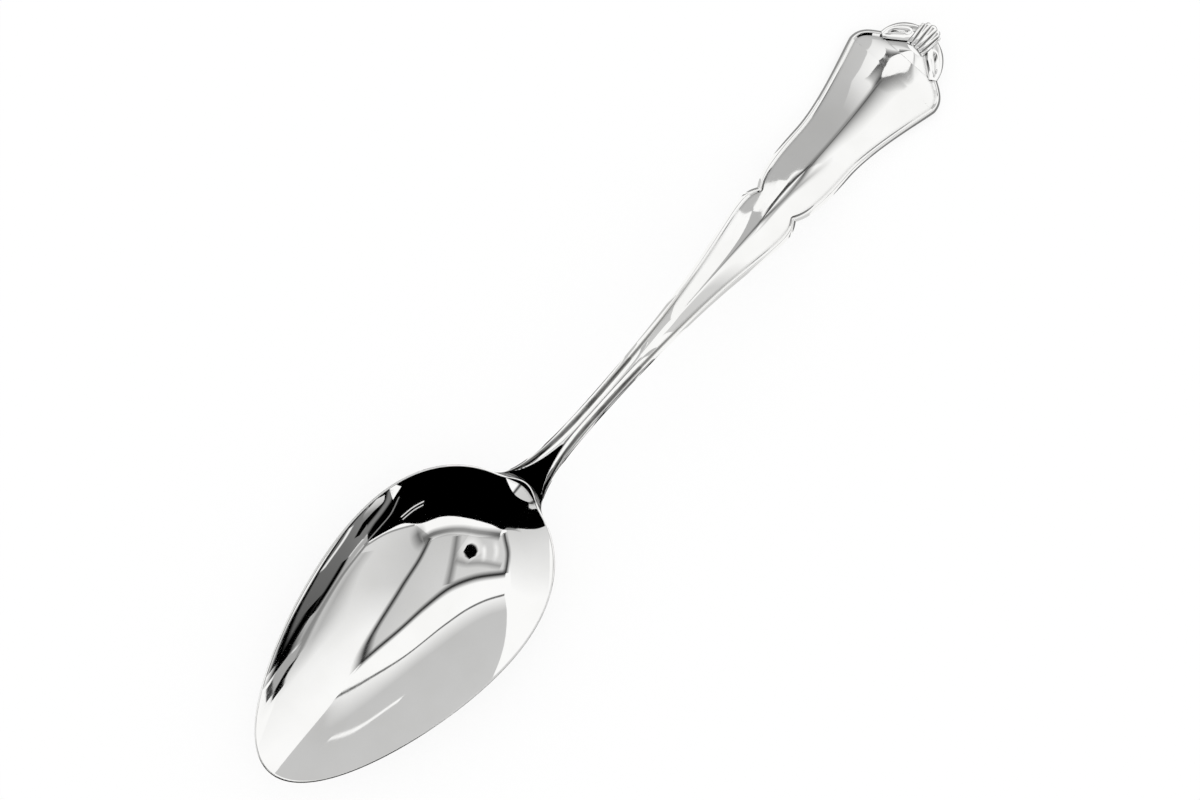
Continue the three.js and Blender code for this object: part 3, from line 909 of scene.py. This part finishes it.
def low_cards(dome):
    """Dark and light cards low at the right, which the bowl's left side mirrors."""
    dome.sheet("low_field", 2, [
        [(-82, 66.5), (-74, 66.5), (-69, 65), (-63, 61.5), (-57, 58.5)],
        [(-90, 89), (-80, 89), (-74, 86), (-67, 78), (-58, 63)],
    ], [along(0.26, 0.17, 0.13, 0.1)] * 2)
    rim_shade = [(-84, 88.5), (-78, 88), (-74, 85.5), (-67, 77), (-58, 62.5)]
    dome.band("low_rim", 3, rim_shade, 2.6, 0.0)
    panel_shade = [(-74, 57), (-67, 56), (-60, 52.5), (-52, 47.5), (-46, 43)]
    dome.band("side_panel_shade", 2, panel_shade, 11.0, 0.35, 1.0, along(0.6, 0.8, 0.7, 0))
    dome.band("low_margin", 0, [(-80, 63.5), (-74, 64), (-69, 62.6), (-63, 59.3), (-57, 55.5)], 6.0, 0.42)
    dome.band("low_eye", 5, [(-87, 79), (-82, 76), (-77.5, 72.5)], along(6, 5.5, 3), 0.0, 0.2)
    dome.sheet("low_foot", 3, [
        [(-57, 59), (-54, 57), (-49, 51)],
        [(-56, 53.5), (-53, 51.2), (-48, 48.5)],
    ], (0.4, 0.4))
    dome.band("low_streak_a", 4, [(-72, 66.8), (-66, 63), (-62, 61)], 3.5, 0.0)
    dome.band("low_streak_b", 4, [(-65, 65.6), (-60, 62), (-56, 58)], 5.0, 0.0)
    dome.band("low_streak_c", 4, [(-53, 51.2), (-50, 50), (-47, 47.7)], 1.6, 0.0, 0.3)
    dome.band("low_streak_d", 4, [(-54, 57), (-49, 51)], 1.0, 0.05, 0.3)
    dome.band("low_line", 6, [(-96, 70.6), (-88, 62.5), (-83, 61.8), (-76, 62)], 1.3, 0.25)
    dome.band("low_band", 6, [(-94, 84), (-91, 75), (-86, 71.4), (-82, 70.2), (-77, 67.5)], 6.0, 0.2)
    dome.sheet("low_gleam_a", 6, [[(-95, 90), (-98.5, 79)], [(-93.5, 86), (-93, 72.5)]], (1, 1))
    dome.sheet("low_gleam_b", 6, [
        [(-91, 84), (-89.5, 78.6), (-85, 78.3), (-81, 78)],
        [(-88, 87), (-86, 86.5), (-83, 85.2), (-81.5, 80)],
    ], [along(0.75, 0.6, 0.3, 0.2)] * 2)
    dome.band("low_gleam_c", 6, [(-79, 86), (-76, 82.3), (-71, 80)], 3.0, 0.9)


def tent():
    """What the bowl mirrors."""
    dome = Dome(TENT_CENTRE, TENT_RADIUS)
    for hang in (side_panels, roof_gap, dark_opening, low_cards):
        hang(dome)


def canopy():
    """What the handle's blade mirrors: cards over its end, which the bowl doesn't see."""
    dome = Dome(CANOPY_CENTRE, CANOPY_RADIUS)
    dome.sheet("canopy_white", 0, [
        [(-70, 4), (-40, 3), (0, 2), (40, 3), (70, 4)],
        [(-70, 50), (-35, 58), (0, 56), (35, 64), (70, 58)],
    ], (1, 1))
    dome.sheet("canopy_grey", 1, [
        [(9, 21.5), (27, 22.5), (42, 21), (58, 21)],
        [(6, 31), (24, 31), (44, 31)],
        [(6, 40), (22, 41), (36, 41)],
        [(4, 46), (14, 47.8), (20, 49.3), (24, 50.7), (28, 52), (31, 52.6)],
    ], (0.6, 0.52, 0.47, 0.47))
    dome.sheet("canopy_patch", 1, [
        [(30.5, 52.7), (34, 51.6), (38, 51.2), (41, 51)],
        [(32, 55), (36, 53.6), (40, 53), (44, 52.8)],
    ], (0.5, 0.5))
    dome.sheet("canopy_field", 2, [
        [(13, 20), (26, 20.5), (41, 20.5)],
        [(9, 28), (20, 28.5), (33.5, 28.5)],
        [(7, 35), (16, 35), (25, 35.5)],
    ], (1, 0.75, 0.5))
    dome.sheet("canopy_ridge", 3, [
        [(16, 21.8), (13, 30), (13, 40), (14, 47.5)],
        [(8, 20.8), (4.5, 30), (4, 40), (4, 46.5)],
        [(-27, 21), (-25, 30), (-24.5, 40), (-20, 47)],
    ], (0.2, 0.12, 0.2), (0, 0.9, 0))
    dome.band("canopy_line", 4, [(4, 46), (13, 48.3), (19, 50)], 1.6, 0.06)
    dome.band("canopy_core", 4, [(8, 20.8), (4.5, 30), (2, 40), (0, 46)], along(1.4, 2.2, 3), 0.12)
    crest_path = [(3, 46), (-6, 47.2), (-15, 49), (-20, 48.5), (-24, 47)]
    dome.band("canopy_crest", 4, crest_path, 4.5, 0.12, 1.0, along(1, 1, 0.9, 0.6, 0))
    dome.sheet("canopy_side", 1, [
        [(-47, 45), (-60, 49), (-75, 57), (-92, 72)],
        [(-47, 58), (-58, 66), (-70, 76), (-85, 90)],
    ], [along(1, 0.68, 0.66, 0.66)] * 2)
    dome.sheet("canopy_leaf", 5, [
        [(24, 17), (0, 15.5), (-20, 17)],
        [(18, 20.6), (12, 21.2), (3, 20.6), (-7, 19.9), (-14, 20)],
    ], (1, 1))
    dome.sheet("canopy_leaf_edge", 4, [
        [(28, 25), (19, 24), (9, 25)],
        [(25, 21.6), (18, 20.6), (10, 21.2)],
    ], (0.05, 0.02), (0, 1))
    dome.sheet("canopy_leaf_shade", 4, [
        [(12, 21.2), (3, 20.6), (-7, 19.9), (-14, 20), (-20, 20.8)],
        [(8, 23), (-3, 22.6), (-14, 22.3), (-22, 22), (-28, 22)],
    ], (0.16, 0.16), (0.8, 0))


# Low walls and a curtain: the handle's kerb has pairs of a share of its way round and a rise or tone

KERB_STATIONS = (66, 190)
KERB_HALF = 22
KERB_END_REACH = 36
KERB_STEPS = 40
KERB_TURN_STEPS = 24
KERB_RISE = ((0, 2.5), (0.12, 1.6), (0.25, 1.6), (0.35, 7), (0.65, 6), (0.75, 1.6), (0.88, 1.6), (1, 2.5))
KERB_TONE = (
    (0, 0), (0.08, 0), (0.13, 0.5), (0.2, 0.5), (0.3, 0.28), (0.5, 0.3),
    (0.62, 0.2), (0.72, 0.2), (0.8, 0.5), (0.87, 0.5), (0.92, 0), (1, 0),
)
BOWL_KERB_PLACE = -66.5
BOWL_KERB_REACH = (52, 36)
BOWL_KERB_TURNS = (24, 336)
BOWL_KERB_STEPS = 60
BOWL_KERB_RISE = 7.5
BOWL_KERB_TONE = 0.1
CURTAIN_PLACE = 20
CURTAIN_HALF = 60
CURTAIN_STEPS = 9
CURTAIN_HEIGHTS = (24, 60, 100)


def kerb():
    """A low wall round the handle, dark beside the neck, which the thread's outer side mirrors."""
    turn = np.linspace(math.pi / 2, -math.pi / 2, KERB_TURN_STEPS)
    straight = np.linspace(*KERB_STATIONS, KERB_STEPS)
    beside = np.full(KERB_STEPS, KERB_HALF)
    stations = np.concatenate([straight, KERB_STATIONS[1] + KERB_END_REACH * np.cos(turn), straight[::-1]])
    across = np.concatenate([beside, KERB_HALF * np.sin(turn), -beside])
    foot = ledge(np.clip(stations, HEEL_STATION, SPOON_LENGTH))
    shares = np.linspace(0, 1, len(stations))
    rise, tones = (np.interp(shares, *zip(*pairs)) for pairs in (KERB_RISE, KERB_TONE))
    lines = [rows(stations - SPOON_LENGTH / 2, across, foot + lift) * MM for lift in (0 * rise, rise)]
    cloth_sheet("kerb", lines, [tones] * 2, (1, 1))


def bowl_kerb():
    """A low dark wall round the bowl, below its rim, which only the outside of the bowl mirrors."""
    turn = np.radians(np.linspace(*BOWL_KERB_TURNS, BOWL_KERB_STEPS))
    x = BOWL_KERB_REACH[0] * np.cos(turn) + BOWL_KERB_PLACE
    y = BOWL_KERB_REACH[1] * np.sin(turn)
    lines = [rows(x, y, height) * MM for height in (0, BOWL_KERB_RISE)]
    cloth_sheet("bowl_kerb", lines, [BOWL_KERB_TONE] * 2, (1, 1))


def curtain():
    """A white curtain across the stem, which keeps the dark opening out of the handle's end."""
    across = np.linspace(-CURTAIN_HALF, CURTAIN_HALF, CURTAIN_STEPS)
    lines = [rows(CURTAIN_PLACE, across, height) * MM for height in CURTAIN_HEIGHTS]
    cloth_sheet("curtain", lines, (1, 1, 1), (1, 1, 1))


# White floor: camera and mirrors see it glow by a share, and the rest of it keeps the shadow

FLOOR_RADIUS = 4000
FLOOR_SIDES = 96
FLOOR_DROP = 0.05
FLOOR_COLOUR = (0.82, 0.82, 0.82, 1)
FLOOR_GLOW = 1.08
FLOOR_GLOW_SHARE = 0.7


def floor():
    below = (0, 0, -FLOOR_DROP * MM)
    bpy.ops.mesh.primitive_circle_add(
        vertices=FLOOR_SIDES, radius=FLOOR_RADIUS * MM, fill_type="NGON", location=below
    )
    plane = bpy.context.object
    plane.name = "floor"
    material = bpy.data.materials.new("white_floor")
    material.use_nodes = True
    nodes, links = material.node_tree.nodes, material.node_tree.links
    nodes.remove(nodes["Principled BSDF"])
    diffuse = nodes.new("ShaderNodeBsdfDiffuse")
    diffuse.inputs["Color"].default_value = FLOOR_COLOUR
    glow = nodes.new("ShaderNodeEmission")
    glow.inputs["Strength"].default_value = FLOOR_GLOW
    path = nodes.new("ShaderNodeLightPath")
    seen = nodes.new("ShaderNodeMath")
    seen.operation = "MAXIMUM"
    seen_all = nodes.new("ShaderNodeMath")
    seen_all.operation = "MAXIMUM"
    share = nodes.new("ShaderNodeMath")
    share.operation = "MULTIPLY"
    share.inputs[1].default_value = FLOOR_GLOW_SHARE
    mix = nodes.new("ShaderNodeMixShader")
    links.new(path.outputs["Is Camera Ray"], seen.inputs[0])
    links.new(path.outputs["Is Glossy Ray"], seen.inputs[1])
    links.new(seen.outputs[0], seen_all.inputs[0])
    links.new(path.outputs["Is Transmission Ray"], seen_all.inputs[1])
    links.new(seen_all.outputs[0], share.inputs[0])
    links.new(share.outputs[0], mix.inputs[0])
    links.new(diffuse.outputs[0], mix.inputs[1])
    links.new(glow.outputs[0], mix.inputs[2])
    links.new(mix.outputs[0], nodes["Material Output"].inputs["Surface"])
    plane.data.materials.append(material)


def world():
    made = bpy.data.worlds.new("studio")
    bpy.context.scene.world = made
    made.use_nodes = True
    made.node_tree.nodes["Background"].inputs["Color"].default_value = (1, 1, 1, 1)
    made.node_tree.nodes["Background"].inputs["Strength"].default_value = 1.0


# Camera: high above the bowl's end, looking along the spoon, and rolled to set it across the picture

CAMERA_ELEVATION = math.radians(75)
CAMERA_DISTANCE = 500.0
CAMERA_TARGET = Vector((92.55 - SPOON_LENGTH / 2, 0.27, 20.0))
CAMERA_ROLL = math.radians(48.22)
CAMERA_LENS = 78.93
CAMERA_SENSOR = 36


def camera():
    away = Vector((-math.cos(CAMERA_ELEVATION), 0, math.sin(CAMERA_ELEVATION)))
    onward = Vector((math.sin(CAMERA_ELEVATION), 0, math.cos(CAMERA_ELEVATION)))
    across = Vector((0, -1, 0))
    right = onward * math.cos(CAMERA_ROLL) + across * math.sin(CAMERA_ROLL)
    up = onward * math.sin(CAMERA_ROLL) - across * math.cos(CAMERA_ROLL)
    data = bpy.data.cameras.new("camera")
    data.lens = CAMERA_LENS
    data.sensor_width = CAMERA_SENSOR
    made = bpy.data.objects.new("camera", data)
    bpy.context.collection.objects.link(made)
    turn = Matrix((right, up, away)).transposed()
    made.matrix_world = Matrix.Translation((CAMERA_TARGET + away * CAMERA_DISTANCE) * MM) @ turn.to_4x4()
    bpy.context.scene.camera = made


silver = silver_material()
for piece, node in make_pieces():
    piece.data.materials.append(silver)
    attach(piece, "root")
    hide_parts(node)
cloth = tent_cloth()
floor()
world()
tent()
canopy()
kerb()
bowl_kerb()
curtain()
camera()
bpy.context.scene.view_settings.view_transform = "Standard"
